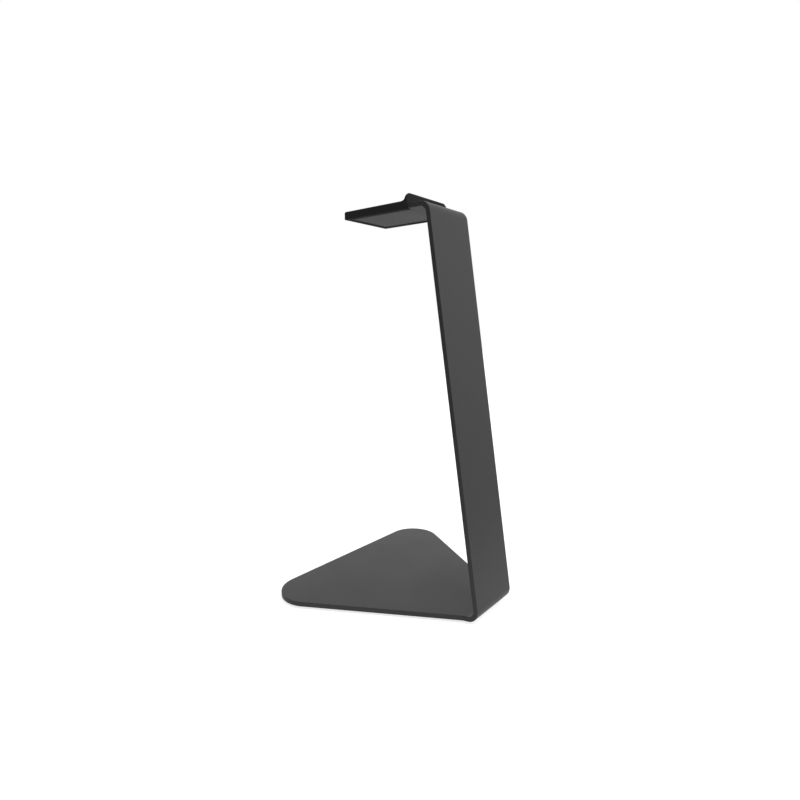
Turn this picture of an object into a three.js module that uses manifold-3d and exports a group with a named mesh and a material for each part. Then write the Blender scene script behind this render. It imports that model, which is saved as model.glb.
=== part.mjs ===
// A headphone stand: one bent steel sheet, a rubber cover on its perch and four rubber feet.
// Millimetres, +Z up. X runs across the stand and +Y from the neck to the far edge of the base.
// The origin is on the table, under the middle of the stand.
import * as THREE from 'three';
import { mergeVertices } from 'three/addons/utils/BufferGeometryUtils.js';
import Module from 'manifold-3d';

const wasm = await Module();
wasm.setup();

// Steel sheet. Its Y is measured from the corner where the neck's outer face would meet the
// underside of the base if the bend had no radius.
const SHEET = 3.2;
const STEEL_HEIGHT = 259.7;
const LEAN = THREE.MathUtils.degToRad(9);
const BEND_RADIUS = 8;
const NECK_WIDTH = 42;
const FLARE_START = 10.3;
const BASE_LENGTH = 133.7;
const BASE_WIDTH = 186.8;
const BASE_CORNER_RADIUS = 20.3;
const PERCH_END = 111.9;

// Rubber cover on the perch
const COVER_FRONT = 57.3;
const COVER_WALL = 0.7;
const COVER_TOP = 1.8;
const COVER_EDGE_RADIUS = 1.2;
const HOOK_DEPTH = 0.6;
const HOOK_REACH = 3.4;
const HOOK_EDGE_RADIUS = 0.4;
const LIP_HEIGHT = 6.5;
const LIP_THICKNESS = 2;
const LIP_CORNER_RADIUS = 4;

// Rubber feet
const FOOT_LIFT = 1.5;
const FOOT_RADIUS = 6;
const FOOT_CHAMFER = 0.3;
const NEAR_FOOT_X = 16;
const NEAR_FOOT_Y = 21;

const GAP = 0.3;
const OVERSHOOT = 5;
const SAME_POINT = 1e-3;
const CURVE_STEPS = 10;
const FOOT_SEGMENTS = 48;

// Worked out from the above
const HALF_NECK = NECK_WIDTH / 2;
const BASE_BEND_RUN = BEND_RADIUS * Math.tan((Math.PI / 2 + LEAN) / 2);
const TOP_BEND_RUN = BEND_RADIUS * Math.tan((Math.PI / 2 - LEAN) / 2);
const TOP_BEND_Y = STEEL_HEIGHT * Math.tan(LEAN) + TOP_BEND_RUN;
const FLARE = Math.atan2(BASE_WIDTH / 2 - HALF_NECK, BASE_LENGTH - FLARE_START);
const CORNER_Y = BASE_LENGTH - BASE_CORNER_RADIUS;
const CORNER_X = HALF_NECK + (CORNER_Y - FLARE_START) * Math.tan(FLARE)
  - BASE_CORNER_RADIUS / Math.cos(FLARE);
const NEAREST_Y = BASE_BEND_RUN - BEND_RADIUS;
const PERCH_UNDERSIDE = STEEL_HEIGHT - SHEET;
const COVER_FLOOR = PERCH_UNDERSIDE - HOOK_DEPTH;

const steelCoat = { color: 0x3a3a3c, roughness: 0.55, metalness: 0.3 };
const blackRubber = { color: 0x161617, roughness: 0.8, metalness: 0 };

// A closed geometry becomes a solid that can be joined and cut.
function toSolid(geometry) {
  const bare = geometry.clone();
  bare.deleteAttribute('normal');
  bare.deleteAttribute('uv');
  const merged = mergeVertices(bare, SAME_POINT / 10);
  const vertProperties = new Float32Array(merged.attributes.position.array);
  const triVerts = new Uint32Array(merged.index.array);
  return new wasm.Manifold(new wasm.Mesh({ numProp: 3, vertProperties, triVerts }));
}

function toGeometry(solid) {
  const mesh = solid.getMesh();
  const geometry = new THREE.BufferGeometry();
  geometry.setAttribute('position', new THREE.BufferAttribute(new Float32Array(mesh.vertProperties), 3));
  geometry.setIndex(new THREE.BufferAttribute(new Uint32Array(mesh.triVerts), 1));
  geometry.computeVertexNormals();
  return geometry;
}

function makeMesh(name, geometry, finish) {
  const mesh = new THREE.Mesh(geometry, new THREE.MeshStandardMaterial(finish));
  mesh.name = name;
  return mesh;
}

// A solid box between two corners
function boxBetween(low, high) {
  const size = new THREE.Vector3().subVectors(high, low);
  const centre = new THREE.Vector3().addVectors(low, high).multiplyScalar(0.5);
  return new THREE.BoxGeometry(size.x, size.y, size.z).translate(centre.x, centre.y, centre.z);
}

// The points of an outline. Where two arcs meet, their shared end is kept once.
function distinctPoints(outline) {
  const points = outline.getPoints(CURVE_STEPS);
  return points.filter((point, i) => point.distanceTo(points.at(i - 1)) > SAME_POINT);
}

// An outline extruded along its own normal, for a length centred on zero
function extrude(outline, length) {
  const polygon = new THREE.Shape(distinctPoints(outline));
  const settings = { depth: length, bevelEnabled: false };
  return new THREE.ExtrudeGeometry(polygon, settings).translate(0, 0, -length / 2);
}

// An outline drawn in Y and Z, extruded along X
function extrudeAcross(outline, width) {
  const axes = new THREE.Matrix4().makeBasis(
    new THREE.Vector3(0, 1, 0),
    new THREE.Vector3(0, 0, 1),
    new THREE.Vector3(1, 0, 0),
  );
  return extrude(outline, width).applyMatrix4(axes);
}

// An outline drawn in X and Z, extruded along Y
function extrudeAlong(outline, length) {
  const axes = new THREE.Matrix4().makeBasis(
    new THREE.Vector3(1, 0, 0),
    new THREE.Vector3(0, 0, 1),
    new THREE.Vector3(0, -1, 0),
  );
  return extrude(outline, length).applyMatrix4(axes);
}

// Side view of the sheet: base, bend, leaning neck, bend, level perch, and back along the inside.
function sheetProfile() {
  const neckSide = Math.PI - LEAN;
  const inner = BEND_RADIUS - SHEET;
  const topBendZ = STEEL_HEIGHT - BEND_RADIUS;
  const outline = new THREE.Shape();
  outline.moveTo(BASE_LENGTH, SHEET);
  outline.lineTo(BASE_LENGTH, 0);
  outline.absarc(BASE_BEND_RUN, BEND_RADIUS, BEND_RADIUS, -Math.PI / 2, neckSide, true);
  outline.absarc(TOP_BEND_Y, topBendZ, BEND_RADIUS, neckSide, Math.PI / 2, true);
  outline.lineTo(PERCH_END, STEEL_HEIGHT);
  outline.lineTo(PERCH_END, PERCH_UNDERSIDE);
  outline.absarc(TOP_BEND_Y, topBendZ, inner, Math.PI / 2, neckSide, false);
  outline.absarc(BASE_BEND_RUN, BEND_RADIUS, inner, neckSide, Math.PI * 1.5, false);
  outline.closePath();
  return outline;
}

// Plan of the base, which flares from just past the bend to two rounded far corners.
function basePlan() {
  const outline = new THREE.Shape();
  outline.moveTo(-HALF_NECK, FLARE_START);
  outline.lineTo(HALF_NECK, FLARE_START);
  outline.absarc(CORNER_X, CORNER_Y, BASE_CORNER_RADIUS, -FLARE, Math.PI / 2, false);
  outline.absarc(-CORNER_X, CORNER_Y, BASE_CORNER_RADIUS, Math.PI / 2, Math.PI + FLARE, false);
  outline.closePath();
  return outline;
}

function steelFrame() {
  const sheet = toSolid(extrudeAcross(sheetProfile(), BASE_WIDTH));
  const base = toSolid(extrude(basePlan(), 2 * SHEET).translate(0, 0, SHEET / 2));
  const neck = toSolid(boxBetween(
    new THREE.Vector3(-HALF_NECK, -OVERSHOOT, -OVERSHOOT),
    new THREE.Vector3(HALF_NECK, BASE_LENGTH - OVERSHOOT, STEEL_HEIGHT + OVERSHOOT),
  ));
  return toGeometry(sheet.intersect(neck.add(base)));
}

// Side view of the cover: lip with a round top, fillet behind it, flat top and rounded far end
function coverSide() {
  const round = LIP_THICKNESS / 2;
  const top = STEEL_HEIGHT + COVER_TOP;
  const lipMiddle = STEEL_HEIGHT + LIP_HEIGHT - round;
  const fillet = lipMiddle - top;
  const end = PERCH_END + COVER_WALL;
  const endMiddle = end - COVER_EDGE_RADIUS;
  const hookEdge = HOOK_EDGE_RADIUS;
  const outline = new THREE.Shape();
  outline.moveTo(COVER_FRONT, lipMiddle);
  outline.lineTo(COVER_FRONT, COVER_FLOOR);
  outline.absarc(end - hookEdge, COVER_FLOOR + hookEdge, hookEdge, -Math.PI / 2, 0, false);
  outline.absarc(endMiddle, top - COVER_EDGE_RADIUS, COVER_EDGE_RADIUS, 0, Math.PI / 2, false);
  outline.absarc(COVER_FRONT + LIP_THICKNESS + fillet, lipMiddle, fillet, Math.PI * 1.5, Math.PI, true);
  outline.absarc(COVER_FRONT + round, lipMiddle, round, 0, Math.PI, false);
  outline.closePath();
  return outline;
}

// Front view of the cover, with the lip's rounded top corners
function coverFront() {
  const halfWidth = HALF_NECK + COVER_WALL;
  const lowX = halfWidth - HOOK_EDGE_RADIUS;
  const lowZ = COVER_FLOOR + HOOK_EDGE_RADIUS;
  const highX = halfWidth - LIP_CORNER_RADIUS;
  const highZ = STEEL_HEIGHT + LIP_HEIGHT - LIP_CORNER_RADIUS;
  const outline = new THREE.Shape();
  outline.absarc(lowX, lowZ, HOOK_EDGE_RADIUS, -Math.PI / 2, 0, false);
  outline.absarc(highX, highZ, LIP_CORNER_RADIUS, 0, Math.PI / 2, false);
  outline.absarc(-highX, highZ, LIP_CORNER_RADIUS, Math.PI / 2, Math.PI, false);
  outline.absarc(-lowX, lowZ, HOOK_EDGE_RADIUS, Math.PI, Math.PI * 1.5, false);
  outline.closePath();
  return outline;
}

// The space for the steel perch, open at the front
function perchCavity() {
  return boxBetween(
    new THREE.Vector3(-HALF_NECK - GAP, COVER_FRONT - OVERSHOOT, PERCH_UNDERSIDE - GAP),
    new THREE.Vector3(HALF_NECK + GAP, PERCH_END + GAP, STEEL_HEIGHT + GAP),
  );
}

// The opening under the perch, which leaves the hook along three sides
function coverWindow() {
  const halfWidth = HALF_NECK - HOOK_REACH;
  return boxBetween(
    new THREE.Vector3(-halfWidth, COVER_FRONT - OVERSHOOT, COVER_FLOOR - OVERSHOOT),
    new THREE.Vector3(halfWidth, PERCH_END - HOOK_REACH, PERCH_UNDERSIDE),
  );
}

function perchCover() {
  const side = toSolid(extrudeAcross(coverSide(), NECK_WIDTH + 2 * OVERSHOOT));
  const front = toSolid(extrudeAlong(coverFront(), 2 * BASE_LENGTH));
  const hollow = toSolid(perchCavity()).add(toSolid(coverWindow()));
  return toGeometry(side.intersect(front).subtract(hollow));
}

// A round foot with a small chamfer, standing on Z = 0 until it is placed
function foot() {
  const height = FOOT_LIFT - GAP;
  const profile = [
    new THREE.Vector2(0, 0),
    new THREE.Vector2(FOOT_RADIUS - FOOT_CHAMFER, 0),
    new THREE.Vector2(FOOT_RADIUS, FOOT_CHAMFER),
    new THREE.Vector2(FOOT_RADIUS, height),
    new THREE.Vector2(0, height),
  ];
  return new THREE.LatheGeometry(profile, FOOT_SEGMENTS).rotateX(Math.PI / 2);
}

// The far feet are concentric with the base's rounded corners.
const footPlaces = {
  foot_near_left: [-NEAR_FOOT_X, NEAR_FOOT_Y],
  foot_near_right: [NEAR_FOOT_X, NEAR_FOOT_Y],
  foot_far_left: [-CORNER_X, CORNER_Y],
  foot_far_right: [CORNER_X, CORNER_Y],
};

const raised = new THREE.Group();
raised.position.z = FOOT_LIFT;
raised.add(makeMesh('steel_frame', steelFrame(), steelCoat));
raised.add(makeMesh('perch_cover', perchCover(), blackRubber));

const stand = new THREE.Group();
stand.position.y = -(NEAREST_Y + BASE_LENGTH) / 2;
stand.add(raised);
for (const [name, [x, y]] of Object.entries(footPlaces)) {
  const mesh = makeMesh(name, foot(), blackRubber);
  mesh.position.set(x, y, 0);
  stand.add(mesh);
}

export default stand;
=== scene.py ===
import math
from collections import namedtuple

import bmesh
import bpy
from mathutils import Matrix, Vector


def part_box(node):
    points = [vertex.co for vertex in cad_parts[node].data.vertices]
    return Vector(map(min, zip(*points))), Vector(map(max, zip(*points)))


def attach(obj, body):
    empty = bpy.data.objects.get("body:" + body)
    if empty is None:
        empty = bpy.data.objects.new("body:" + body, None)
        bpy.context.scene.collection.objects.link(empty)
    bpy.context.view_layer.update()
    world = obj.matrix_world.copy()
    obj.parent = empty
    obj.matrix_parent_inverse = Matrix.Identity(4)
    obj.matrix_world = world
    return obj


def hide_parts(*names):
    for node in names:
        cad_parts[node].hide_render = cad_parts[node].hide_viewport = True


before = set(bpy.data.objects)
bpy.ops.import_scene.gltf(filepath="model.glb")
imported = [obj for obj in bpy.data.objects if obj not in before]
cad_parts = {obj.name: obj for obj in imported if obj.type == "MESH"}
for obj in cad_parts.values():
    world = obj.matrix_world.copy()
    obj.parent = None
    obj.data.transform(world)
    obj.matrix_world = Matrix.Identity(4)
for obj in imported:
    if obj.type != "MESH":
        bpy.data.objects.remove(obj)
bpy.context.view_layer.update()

# A headphone stand: one bent, powder-coated steel sheet, a black silicone cover on its perch and four
# rubber feet. Everything is in metres, with X across the stand, +Y from the neck to the far edge of
# the base and +Z up. The base's underside, the neck's outer face and the perch's top are one face
# of the sheet, called its outer face here.
MM = 0.001

# Steel sheet
SHEET = 3.2 * MM
LEAN = math.radians(9)
BEND_RADIUS = 8 * MM
HALF_NECK = 21 * MM
FLARE_GAP = 0.93 * MM  # from the first bend to where the base would start to flare without a fillet
FLARE_FILLET = 10 * MM
BASE_CORNER_RADIUS = 20.3 * MM
STEEL_EDGE = 0.3 * MM

# Silicone cover. Its hook is the strip along the bottom of its wall that reaches in under the perch,
# and the hook's width is measured from the cover's outside.
COVER_WALL = 0.7 * MM
COVER_TOP = 1.8 * MM
COVER_TOP_EDGE = 1.1 * MM
COVER_CORNER = 1.3 * MM
COVER_FRONT_EDGE = 0.3 * MM
CAVITY_CORNER = 0.15 * MM
LIP_THICKNESS = 2 * MM
LIP_CORNER = 4 * MM
HOOK_DEPTH = 0.3 * MM
HOOK_WIDTH = 4.1 * MM
HOOK_OUTER_EDGE = 0.4 * MM
HOOK_INNER_EDGE = 0.15 * MM
CLEARANCE = 0.02 * MM

# Rubber feet
FOOT_TREAD_EDGE = 0.4 * MM
FOOT_TOP_EDGE = 0.1 * MM
FOOT_TAPER = 0.25 * MM
ADHESIVE_INSET = 0.4 * MM

# Fineness of the meshes
COLUMNS = 16
ARC_STEPS = 6
BEND_STEPS = 36
CORNER_STEPS = 28
STRAIGHT_STEPS = 8
FILLET_STEPS = 12
ROUND_SEGMENTS = 72
SHARP_ANGLE = math.radians(50)

# Noise lies mostly between these two values.
NOISE_LOW = 0.3
NOISE_HIGH = 0.7

# The colour sockets of the mix node, by number
MIX_COLOR_A = 6
MIX_COLOR_B = 7
MIX_COLOR_RESULT = 2

# Camera: where it stands, the way it looks, and its lens in millimetres
CAMERA_PLACE = Vector((-285.8, -222.5, 184.3)) * MM
CAMERA_YAW = math.radians(50.49)
CAMERA_PITCH = math.radians(7.79)
CAMERA_LENS = 23.667

# Floor: its size, how strongly the camera sees it glow, and the pool of light under the stand, which
# fades between two distances from the middle
FLOOR_RADIUS = 4.0
GLOW = 0.7
POOL = 0.42
POOL_INNER = 0.06
POOL_OUTER = 0.35

# Broad soft lights of the surroundings: the way to each one's middle, the angles from it at which the
# light starts to fade and has gone, in degrees, and its strength
SoftLight = namedtuple("SoftLight", "way inner outer strength")
SOFT_LIGHTS = [
    SoftLight(way=(0, -1, 0.3), inner=10, outer=80, strength=2.05),
    SoftLight(way=(0.7, 0.7, 0.2), inner=10, outer=80, strength=1.05),
    SoftLight(way=(-1, 0.2, 0.3), inner=10, outer=70, strength=0.2),
    SoftLight(way=(0, 0, 1), inner=10, outer=50, strength=0.6),
]
AMBIENT = 0.03
BACKDROP = 1.0


def steps(count):
    """Evenly spaced values from 0 to 1, both ends included."""
    return [i / count for i in range(count + 1)]


def quarter_turn(count):
    """Evenly spaced angles from 0 to a right angle, both ends included."""
    return [share * math.pi / 2 for share in steps(count)]


def mix(a, b, share):
    return a + (b - a) * share


# ---------------------------------------------------------------------------------------------
# Meshes

def plate_rim(rows, columns, open_start):
    """The places round a grid, in order. With open_start, the first row is left out but for its ends."""
    right = [(row, columns) for row in range(rows - 1)]
    last = [(rows - 1, column) for column in range(columns, -1, -1)]
    left = [(row, 0) for row in range(rows - 2, -1, -1)]
    if open_start:
        return right + last + left
    first = [(0, column) for column in range(columns)]
    return first + right + last + left[:-1]


def plate_verts(bm, rows, columns, layers, rim, spot):
    """A plate's vertices, by layer and place: all places on the first and last layers, and the rim's
    places on the layers between."""
    grid = [(row, column) for row in range(rows) for column in range(columns + 1)]
    verts = {}
    for layer in range(layers):
        places = grid if layer in (0, layers - 1) else rim
        for row, column in places:
            across = 2 * column / columns - 1
            verts[layer, (row, column)] = bm.verts.new(spot(row, across, layer))
    return verts


def add_wide_faces(bm, verts, rows, columns, last):
    """Adds a plate's two wide faces."""
    for row in range(rows - 1):
        for column in range(columns):
            corners = [(row, column), (row, column + 1), (row + 1, column + 1), (row + 1, column)]
            bm.faces.new([verts[0, corner] for corner in corners])
            bm.faces.new([verts[last, corner] for corner in corners])


def add_rim_faces(bm, verts, rim, last, open_start):
    """Adds the faces round a plate's rim."""
    neighbours = list(zip(rim, rim[1:]))
    if not open_start:
        neighbours.append((rim[-1], rim[0]))
    for layer in range(last):
        for here, there in neighbours:
            corners = [(layer, here), (layer + 1, here), (layer + 1, there), (layer, there)]
            bm.faces.new([verts[corner] for corner in corners])


def add_start_face(bm, verts, columns, last):
    """Adds one flat face that closes a plate at its first row."""
    top = [verts[0, (0, column)] for column in range(columns + 1)]
    right = [verts[layer, (0, columns)] for layer in range(1, last)]
    under = [verts[last, (0, column)] for column in range(columns, -1, -1)]
    left = [verts[layer, (0, 0)] for layer in range(last - 1, 0, -1)]
    bm.faces.new(top + right + under + left)


def add_plate(bm, rows, columns, layers, spot, open_start):
    """Adds a closed plate to a mesh. Its two wide faces are grids, on the first and last layers, and
    the layers between run round its rim. spot(row, across, layer) gives a point, and across runs from
    -1 on the left to 1 on the right. With open_start, the rim leaves out the first row, and one flat
    face closes the plate there."""
    last = layers - 1
    rim = plate_rim(rows, columns, open_start)
    verts = plate_verts(bm, rows, columns, layers, rim, spot)
    add_wide_faces(bm, verts, rows, columns, last)
    add_rim_faces(bm, verts, rim, last, open_start)
    if open_start:
        add_start_face(bm, verts, columns, last)


def make_piece(name, bm, material):
    """Turns a bmesh into a smooth-shaded object that rides on the stand's only body."""
    bmesh.ops.recalc_face_normals(bm, faces=bm.faces)
    mesh = bpy.data.meshes.new(name)
    bm.to_mesh(mesh)
    bm.free()
    mesh.shade_smooth()
    mesh.set_sharp_from_angle(angle=SHARP_ANGLE)
    mesh.materials.append(material)
    piece = bpy.data.objects.new(name, mesh)
    bpy.context.scene.collection.objects.link(piece)
    weighting = piece.modifiers.new("weighted_normals", "WEIGHTED_NORMAL")
    weighting.keep_sharp = True
    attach(piece, "root")
    return piece


# ---------------------------------------------------------------------------------------------
# The steel sheet

# A line across the sheet: a point of its outer face in the middle, the way along the sheet towards
# the perch, the way into the sheet, its half width, and how far the sheet's edge moves inwards
# across and along for each unit of inset.
Station = namedtuple("Station", "point along into half trim_across trim_along")


def base_station(y, z, half, trim_across, trim_along):
    return Station(Vector((0, y, z)), Vector((0, -1, 0)), Vector((0, 0, 1)), half, trim_across, trim_along)


def flare_angle(high, bend_y):
    """How far each flared side of the base turns outwards from the neck's side."""
    corner = high - Vector((BASE_CORNER_RADIUS, BASE_CORNER_RADIUS, 0))
    run = Vector((corner.x - HALF_NECK, corner.y - bend_y - FLARE_GAP))
    return math.atan2(run.x, run.y) + math.asin(BASE_CORNER_RADIUS / run.length)


def fillet_edge(distance, flare):
    """The sheet's half width and its edge's trims in the fillet between the neck and the flared side,
    at a distance along the sheet from the first bend towards the base's far edge. Before the fillet
    they are the neck's."""
    start = FLARE_GAP - FLARE_FILLET * math.tan(flare / 2)
    angle = math.asin(max(distance - start, 0) / FLARE_FILLET)
    return HALF_NECK + FLARE_FILLET * (1 - math.cos(angle)), math.cos(angle), -math.sin(angle)


def straight_stations(start, end):
    """The stations between two others on a flat stretch of the sheet."""
    stations = []
    for share in steps(STRAIGHT_STEPS)[1:-1]:
        point = start.point.lerp(end.point, share)
        stations.append(start._replace(point=point, half=mix(start.half, end.half, share)))
    return stations


def base_stations(low, high, bend_y, flare):
    """From the base's far edge round its corners, down its flared sides and round the fillets to the
    first bend."""
    corner_x = high.x - BASE_CORNER_RADIUS
    corner_y = high.y - BASE_CORNER_RADIUS
    corners = []
    for share in steps(CORNER_STEPS):
        angle = mix(math.pi / 2, -flare, share)
        across, along = math.cos(angle), math.sin(angle)
        y = corner_y + BASE_CORNER_RADIUS * along
        half = corner_x + BASE_CORNER_RADIUS * across
        corners.append(base_station(y, low.z, half, across, along))
    fillet = []
    fillet_run = FLARE_GAP + FLARE_FILLET * (math.sin(flare) - math.tan(flare / 2))
    for share in steps(FILLET_STEPS):
        distance = mix(fillet_run, 0, share)
        fillet.append(base_station(bend_y + distance, low.z, *fillet_edge(distance, flare)))
    return corners + straight_stations(corners[-1], fillet[0]) + fillet


def bend_stations(centre, start, end, edge):
    """The stations round a bend. Its angles are measured from +Y towards +Z, and edge(distance) gives
    the half width and the trims at a distance round the bend from its start."""
    stations = []
    for share in steps(BEND_STEPS):
        angle = mix(start, end, share)
        outwards = Vector((0, math.cos(angle), math.sin(angle)))
        along = Vector((0, math.sin(angle), -math.cos(angle)))
        distance = BEND_RADIUS * (start - angle)
        stations.append(Station(centre + outwards * BEND_RADIUS, along, -outwards, *edge(distance)))
    return stations


def sheet_stations(low, high, perch_end):
    """The stations of the whole sheet, from the base's far edge to the perch's end."""
    bend_y = low.y + BEND_RADIUS
    neck_side = math.pi - LEAN
    height = high.z - low.z
    corner_y = bend_y - BEND_RADIUS * math.tan((math.pi / 2 + LEAN) / 2)
    top_bend_y = corner_y + height * math.tan(LEAN) + BEND_RADIUS * math.tan((math.pi / 2 - LEAN) / 2)
    base_centre = Vector((0, bend_y, low.z + BEND_RADIUS))
    top_centre = Vector((0, top_bend_y, high.z - BEND_RADIUS))
    flare = flare_angle(high, bend_y)
    base_bend = bend_stations(
        base_centre, -math.pi / 2, neck_side - 2 * math.pi, lambda distance: fillet_edge(-distance, flare),
    )
    top_bend = bend_stations(top_centre, neck_side, math.pi / 2, lambda distance: (HALF_NECK, 1, 0))
    perch = top_bend[-1]._replace(point=Vector((0, perch_end, high.z)), trim_along=-1)
    return [
        *base_stations(low, high, bend_y, flare),
        *base_bend,
        *straight_stations(base_bend[-1], top_bend[0]),
        *top_bend,
        *straight_stations(top_bend[-1], perch),
        perch,
    ]


def sheet_rim():
    """The sheet's rounded edge as (inset, depth) pairs, from its outer face to its inner face."""
    outer = []
    for angle in quarter_turn(ARC_STEPS):
        outer.append((STEEL_EDGE * (1 - math.sin(angle)), STEEL_EDGE * (1 - math.cos(angle))))
    return outer + [(inset, SHEET - depth) for inset, depth in reversed(outer)]


def steel_sheet(material):
    low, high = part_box("steel_frame")
    perch_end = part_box("perch_cover")[1].y - COVER_WALL
    stations = sheet_stations(low, high, perch_end)
    rim = sheet_rim()

    def spot(row, across, layer):
        station = stations[row]
        inset, depth = rim[layer]
        side = Vector((across * (station.half - inset * station.trim_across), 0, 0))
        return station.point + side + station.along * inset * station.trim_along + station.into * depth

    bm = bmesh.new()
    add_plate(bm, len(stations), COLUMNS, len(rim), spot, open_start=False)
    piece = make_piece("bent_sheet", bm, material)
    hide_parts("steel_frame")


# ---------------------------------------------------------------------------------------------
# The silicone cover

def cover_ridge(front, lip_top, flat_top, far):
    """(y, height) along the middle of the cover's top: the lip, the fillet behind it and the flat."""
    crest = LIP_THICKNESS / 2
    fillet = lip_top - crest - flat_top
    ridge = []
    for share in steps(2 * ARC_STEPS):
        angle = math.pi * (1 - share)
        y = front + crest + crest * math.cos(angle)
        ridge.append((y, lip_top - crest + crest * math.sin(angle)))
    for share in steps(ARC_STEPS)[1:]:
        angle = math.pi * (1 + share / 2)
        y = front + LIP_THICKNESS + fillet + fillet * math.cos(angle)
        ridge.append((y, lip_top - crest + fillet * math.sin(angle)))
    start = ridge[-1][0]
    ridge += [(mix(start, far, share), flat_top) for share in steps(STRAIGHT_STEPS)[1:]]
    return ridge


def front_ease(distance):
    """How far the cover's outside is drawn in at its rounded front edge."""
    if distance >= COVER_FRONT_EDGE:
        return 0
    rest = COVER_FRONT_EDGE - distance
    return COVER_FRONT_EDGE - math.sqrt(COVER_FRONT_EDGE ** 2 - rest ** 2)


def wall_section(height, lip_share, ease, steel_top):
    """The cover's wall and hook in section, as (inset, z) pairs from the edge of the cover's top, down
    the outside, round the hook and up the inside to the top of the cavity. lip_share runs from 0 at
    the flat top to 1 at the lip's top, and ease draws the outside in."""
    top_edge = mix(COVER_TOP_EDGE, LIP_CORNER, lip_share)
    flat_hook = HOOK_WIDTH - HOOK_INNER_EDGE
    cavity_side = COVER_WALL - CLEARANCE
    cavity_floor = steel_top - SHEET - CLEARANCE
    hook_floor = steel_top - SHEET - HOOK_DEPTH + ease
    section = []
    for angle in quarter_turn(ARC_STEPS):
        z = height - top_edge * (1 - math.cos(angle))
        section.append((ease + top_edge * (1 - math.sin(angle)), z))
    for angle in quarter_turn(ARC_STEPS):
        z = hook_floor + HOOK_OUTER_EDGE * (1 - math.sin(angle))
        section.append((ease + HOOK_OUTER_EDGE * (1 - math.cos(angle)), z))
    for angle in quarter_turn(ARC_STEPS // 2)[1:]:
        z = hook_floor + HOOK_INNER_EDGE * (1 - math.cos(angle))
        section.append((flat_hook + HOOK_INNER_EDGE * math.sin(angle), z))
    section.append((HOOK_WIDTH, cavity_floor))
    section.append((cavity_side, cavity_floor))
    section.append((cavity_side, steel_top + CLEARANCE))
    return section


def cover_sections(ridge, front, lip_top, flat_top, steel_top):
    """The wall's section at each point of the ridge."""
    sections = []
    for y, height in ridge:
        lip_share = (height - flat_top) / (lip_top - flat_top)
        sections.append(wall_section(height, lip_share, front_ease(y - front), steel_top))
    return sections


def perch_cover(material):
    low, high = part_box("perch_cover")
    steel_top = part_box("steel_frame")[1].z
    flat_top = steel_top + COVER_TOP
    # The straight part ends just before the hook's inner corners, the first to turn, start.
    straight_end = high.y - HOOK_WIDTH - 2 * CAVITY_CORNER
    ridge = cover_ridge(low.y, high.z, flat_top, straight_end)
    sections = cover_sections(ridge, low.y, high.z, flat_top, steel_top)
    turns = quarter_turn(ARC_STEPS)

    def spot(row, across, layer):
        if row < len(ridge):
            inset, z = sections[row][layer]
            return Vector((across * (high.x - inset), ridge[row][0], z))
        inset, z = sections[-1][layer]
        angle = turns[row - len(ridge)]
        radius = max(COVER_CORNER - inset, CAVITY_CORNER)
        half = high.x - inset - radius * (1 - math.cos(angle))
        return Vector((across * half, high.y - inset - radius * (1 - math.sin(angle)), z))

    bm = bmesh.new()
    add_plate(bm, len(ridge) + len(turns), COLUMNS, len(sections[0]), spot, open_start=True)
    piece = make_piece("silicone_cover", bm, material)
    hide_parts("perch_cover")


# ---------------------------------------------------------------------------------------------
# The feet

def foot_profile(radius, height, underside):
    """(radius, z) pairs of a foot from the middle of its underside to the middle of its top: a rounded
    lower edge, a side that widens upwards, and a thinner layer of adhesive above it."""
    tread = radius - FOOT_TAPER - FOOT_TREAD_EDGE
    profile = [(0, 0)]
    for angle in quarter_turn(ARC_STEPS):
        z = FOOT_TREAD_EDGE * (1 - math.cos(angle))
        profile.append((tread + FOOT_TREAD_EDGE * math.sin(angle), z))
    profile.append((radius, height - FOOT_TOP_EDGE))
    profile.append((radius - FOOT_TOP_EDGE, height))
    profile.append((radius - ADHESIVE_INSET, height))
    profile.append((radius - ADHESIVE_INSET, underside))
    profile.append((0, underside))
    return profile


def add_ring(bm, centre, radius, z):
    """Adds a ring of vertices round a foot's axis, or one vertex where the radius is 0."""
    count = ROUND_SEGMENTS if radius else 1
    ring = []
    for i in range(count):
        turn = 2 * math.pi * i / count
        spot = (centre.x + radius * math.cos(turn), centre.y + radius * math.sin(turn), z)
        ring.append(bm.verts.new(spot))
    return ring


def foot(node, material, underside):
    low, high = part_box(node)
    centre = (low + high) / 2
    profile = foot_profile((high.x - low.x) / 2, high.z, underside)
    bm = bmesh.new()
    rings = [add_ring(bm, centre, radius, z) for radius, z in profile]
    for lower, upper in zip(rings, rings[1:]):
        for i in range(ROUND_SEGMENTS):
            j = (i + 1) % ROUND_SEGMENTS
            below = [lower[i % len(lower)], lower[j % len(lower)]]
            above = [upper[j % len(upper)], upper[i % len(upper)]]
            # A ring of one vertex gives the same corner twice, and the face is then a triangle.
            bm.faces.new(list(dict.fromkeys(below + above)))
    piece = make_piece(node + "_pad", bm, material)
    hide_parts(node)


# ---------------------------------------------------------------------------------------------
# Materials

def add_node(tree, kind, inputs, **settings):
    """Adds a node. Its inputs are named or numbered, and each one's value is a number, a colour, a
    vector or another node's output."""
    made = tree.nodes.new(kind)
    for name, value in settings.items():
        setattr(made, name, value)
    for name, value in inputs.items():
        if isinstance(value, bpy.types.NodeSocket):
            tree.links.new(value, made.inputs[name])
        else:
            made.inputs[name].default_value = value
    return made


def grey(value):
    return (value, value, value, 1)


def new_material(name):
    """An empty material with its shader, and the object's own coordinates in metres."""
    material = bpy.data.materials.new(name)
    material.use_nodes = True
    tree = material.node_tree
    shader = tree.nodes["Principled BSDF"]
    place = add_node(tree, "ShaderNodeTexCoord", {}).outputs["Object"]
    return material, tree, shader, place


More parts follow.
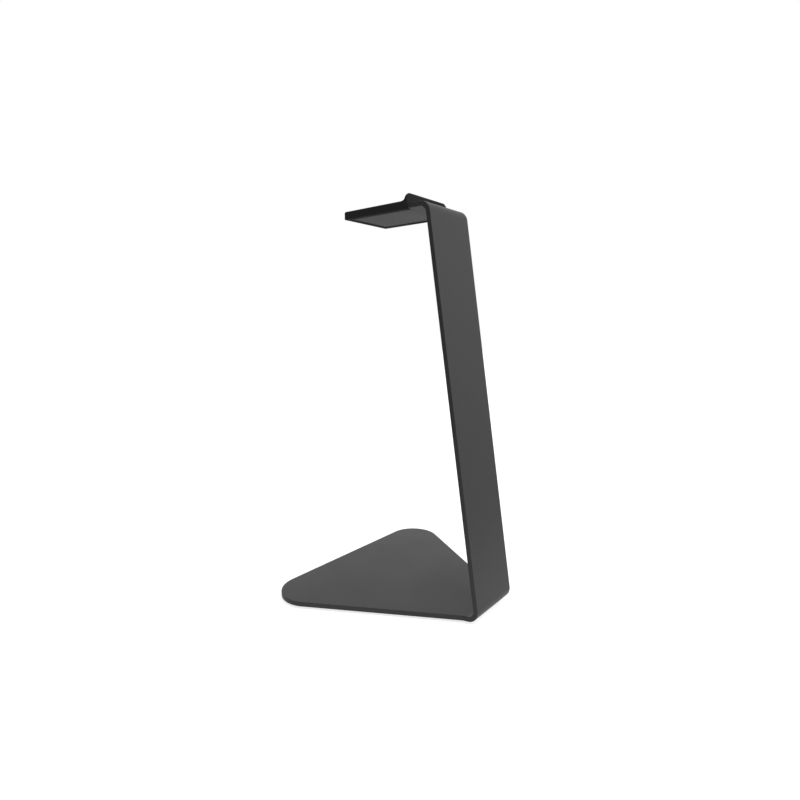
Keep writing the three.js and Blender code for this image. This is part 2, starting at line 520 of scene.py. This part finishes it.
def noise(tree, place, size, detail, roughness=0.5):
    """Noise whose features are about the given size, from 0 to 1."""
    inputs = {"Vector": place, "Scale": 1 / size, "Detail": detail, "Roughness": roughness}
    return add_node(tree, "ShaderNodeTexNoise", inputs).outputs["Fac"]


def spread(tree, value, low, high):
    """Noise stretched over a range of values, and cut off at its ends."""
    inputs = {"Value": value, "From Min": NOISE_LOW, "From Max": NOISE_HIGH, "To Min": low, "To Max": high}
    return add_node(tree, "ShaderNodeMapRange", inputs).outputs["Result"]


def product(tree, first, second):
    """Two numbers multiplied."""
    return add_node(tree, "ShaderNodeMath", {0: first, 1: second}, operation="MULTIPLY").outputs["Value"]


def tint(tree, shader, value, low, high):
    """Sets the shader's colour to a grey between two, by a value from 0 to 1."""
    inputs = {"Factor": value, MIX_COLOR_A: grey(low), MIX_COLOR_B: grey(high)}
    mixed = add_node(tree, "ShaderNodeMix", inputs, data_type="RGBA")
    tree.links.new(mixed.outputs[MIX_COLOR_RESULT], shader.inputs["Base Color"])


def bump(tree, height, depth, strength, below=None):
    """A bump of the given depth, on top of another one."""
    inputs = {"Height": height, "Distance": depth, "Strength": strength}
    if below:
        inputs["Normal"] = below
    return add_node(tree, "ShaderNodeBump", inputs).outputs["Normal"]


def powder_coat():
    """Satin powder coat: a fine grain over a faint orange peel, with a little cloudiness."""
    material, tree, shader, place = new_material("powder_coat")
    clouds = noise(tree, place, size=45 * MM, detail=2)
    peel = noise(tree, place, size=2.2 * MM, detail=1)
    grain = noise(tree, place, size=0.45 * MM, detail=3, roughness=0.6)
    shade = product(tree, spread(tree, clouds, low=0.85, high=1.0), spread(tree, grain, low=0.6, high=1.0))
    tint(tree, shader, shade, low=0.004, high=0.028)
    tree.links.new(spread(tree, clouds, low=0.4, high=0.47), shader.inputs["Roughness"])
    shader.inputs["Specular IOR Level"].default_value = 0.35
    uneven = bump(tree, peel, depth=0.01 * MM, strength=0.6)
    grainy = bump(tree, grain, depth=0.02 * MM, strength=0.5, below=uneven)
    tree.links.new(grainy, shader.inputs["Normal"])
    return material


def silicone():
    """Matt moulded silicone, near black, with the fine texture of a blasted mould."""
    material, tree, shader, place = new_material("silicone")
    clouds = noise(tree, place, size=12 * MM, detail=2)
    grain = noise(tree, place, size=0.25 * MM, detail=2, roughness=0.6)
    shade = product(tree, spread(tree, clouds, low=0.85, high=1.0), spread(tree, grain, low=0.85, high=1.0))
    tint(tree, shader, shade, low=0.005, high=0.017)
    tree.links.new(spread(tree, clouds, low=0.68, high=0.78), shader.inputs["Roughness"])
    shader.inputs["Specular IOR Level"].default_value = 0.12
    tree.links.new(bump(tree, grain, depth=0.012 * MM, strength=0.6), shader.inputs["Normal"])
    return material


def foot_rubber():
    """Black rubber with a slightly uneven, dusty surface."""
    material, tree, shader, place = new_material("foot_rubber")
    clouds = noise(tree, place, size=3 * MM, detail=3)
    grain = noise(tree, place, size=0.3 * MM, detail=2)
    tint(tree, shader, clouds, low=0.008, high=0.022)
    tree.links.new(spread(tree, clouds, low=0.75, high=0.9), shader.inputs["Roughness"])
    tree.links.new(bump(tree, grain, depth=0.015 * MM, strength=0.7), shader.inputs["Normal"])
    return material


# ---------------------------------------------------------------------------------------------
# Studio

def seen_or_not(tree, seen, unseen):
    """One value for what the camera sees, and another for the light that falls on the stand."""
    camera_ray = add_node(tree, "ShaderNodeLightPath", {}).outputs["Is Camera Ray"]
    return add_node(tree, "ShaderNodeMix", {"Factor": camera_ray, "A": unseen, "B": seen}).outputs["Result"]


def floor_glow(tree, place):
    """How strongly the floor glows: in a soft pool under the stand, and evenly for the camera."""
    distance = add_node(tree, "ShaderNodeVectorMath", {0: place}, operation="LENGTH").outputs["Value"]
    fade = {"Value": distance, "From Min": POOL_INNER, "From Max": POOL_OUTER, "To Min": POOL, "To Max": 0}
    pool = add_node(tree, "ShaderNodeMapRange", fade, interpolation_type="SMOOTHSTEP").outputs["Result"]
    return seen_or_not(tree, GLOW, pool)


def floor_paper():
    """Pale seamless paper that can be seen only from above."""
    material, tree, shader, place = new_material("floor_paper")
    fibres = noise(tree, place, size=4 * MM, detail=4)
    tint(tree, shader, fibres, low=0.5, high=0.54)
    shader.inputs["Roughness"].default_value = 0.9
    shader.inputs["Specular IOR Level"].default_value = 0.1
    tree.links.new(floor_glow(tree, place), shader.inputs["Emission Strength"])
    clear = add_node(tree, "ShaderNodeBsdfTransparent", {}).outputs["BSDF"]
    back = add_node(tree, "ShaderNodeNewGeometry", {}).outputs["Backfacing"]
    sides = add_node(tree, "ShaderNodeMixShader", {"Fac": back, 1: shader.outputs["BSDF"], 2: clear})
    tree.links.new(sides.outputs["Shader"], tree.nodes["Material Output"].inputs["Surface"])
    return material


def add_floor(material):
    bm = bmesh.new()
    bmesh.ops.create_circle(bm, cap_ends=True, segments=ROUND_SEGMENTS, radius=FLOOR_RADIUS)
    mesh = bpy.data.meshes.new("floor")
    bm.to_mesh(mesh)
    bm.free()
    mesh.materials.append(material)
    floor = bpy.data.objects.new("floor", mesh)
    bpy.context.scene.collection.objects.link(floor)


def light_strength(tree, direction, light):
    """The strength of one broad light, seen along a direction."""
    inputs = {0: direction, 1: Vector(light.way).normalized()}
    fade = {
        "Value": add_node(tree, "ShaderNodeVectorMath", inputs, operation="DOT_PRODUCT").outputs["Value"],
        "From Min": math.cos(math.radians(light.outer)),
        "From Max": math.cos(math.radians(light.inner)),
        "To Max": light.strength,
    }
    return add_node(tree, "ShaderNodeMapRange", fade, interpolation_type="SMOOTHSTEP").outputs["Result"]


def add_surroundings():
    """Surroundings that light the stand softly, most of all from the front and from the far right. The
    camera sees them evenly white."""
    world = bpy.data.worlds.new("studio")
    bpy.context.scene.world = world
    world.use_nodes = True
    tree = world.node_tree
    background = tree.nodes["Background"]
    direction = add_node(tree, "ShaderNodeTexCoord", {}).outputs["Generated"]
    total = AMBIENT
    for light in SOFT_LIGHTS:
        inputs = {0: light_strength(tree, direction, light), 1: total}
        total = add_node(tree, "ShaderNodeMath", inputs, operation="ADD").outputs["Value"]
    tree.links.new(seen_or_not(tree, BACKDROP, total), background.inputs["Strength"])
    background.inputs["Color"].default_value = grey(1)


def add_camera():
    data = bpy.data.cameras.new("camera")
    data.lens = CAMERA_LENS
    camera = bpy.data.objects.new("camera", data)
    camera.location = CAMERA_PLACE
    camera.rotation_euler = (math.pi / 2 - CAMERA_PITCH, 0, -CAMERA_YAW)
    bpy.context.scene.collection.objects.link(camera)
    bpy.context.scene.camera = camera


# ---------------------------------------------------------------------------------------------

add_camera()
add_surroundings()
add_floor(floor_paper())
bpy.context.scene.view_settings.view_transform = "Standard"

steel_sheet(powder_coat())
perch_cover(silicone())
rubber = foot_rubber()
steel_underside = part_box("steel_frame")[0].z
for foot_node in ("foot_near_left", "foot_near_right", "foot_far_left", "foot_far_right"):
    foot(foot_node, rubber, steel_underside)
